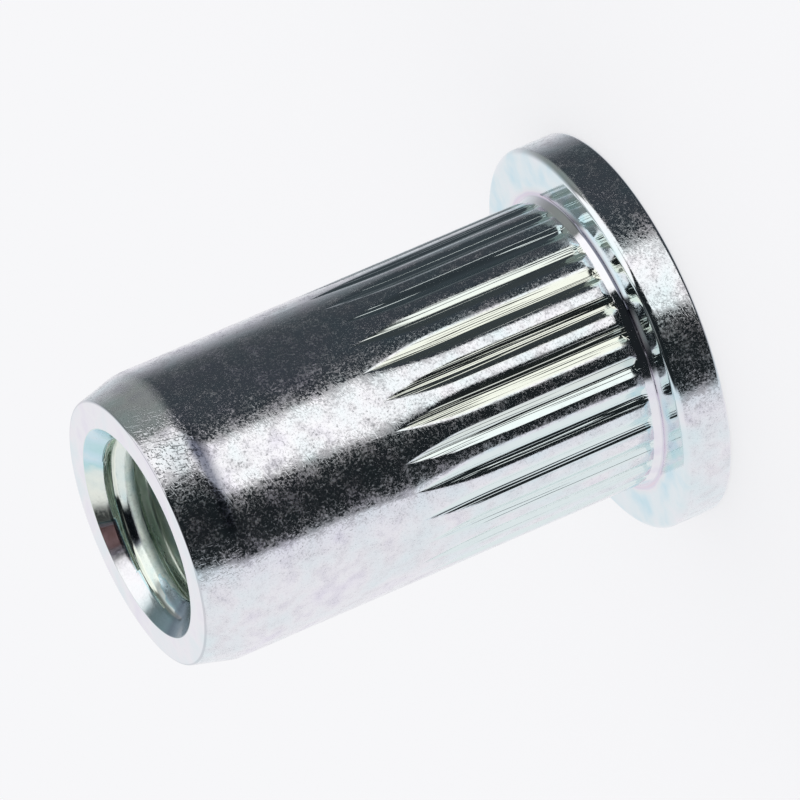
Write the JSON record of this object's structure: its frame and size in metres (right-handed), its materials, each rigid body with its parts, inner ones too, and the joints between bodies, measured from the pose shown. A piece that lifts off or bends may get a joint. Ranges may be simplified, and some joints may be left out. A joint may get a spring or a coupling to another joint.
{
  "type": "rivet nut",
  "caption": "Flat head rivet nut with an open threaded foot, a thin collapsing wall behind the head and lengthwise grooves round its shank.",
  "frame": {"origin": "centre of the head's outer flat face, which the nut stands on", "axes": "+Z along the bore axis from the head to the threaded foot; one groove is centred on +X"},
  "size_m": [0.012, 0.012, 0.0165],
  "materials": {
    "zinc_plated_steel": "bright zinc plating with a clear bluish passivation, dotted and lightly scratched on the plain shank, smooth in the grooves"
  },
  "bodies": {
    "root": {"rivet_nut": "zinc_plated_steel"}
  },
  "joints": []
}
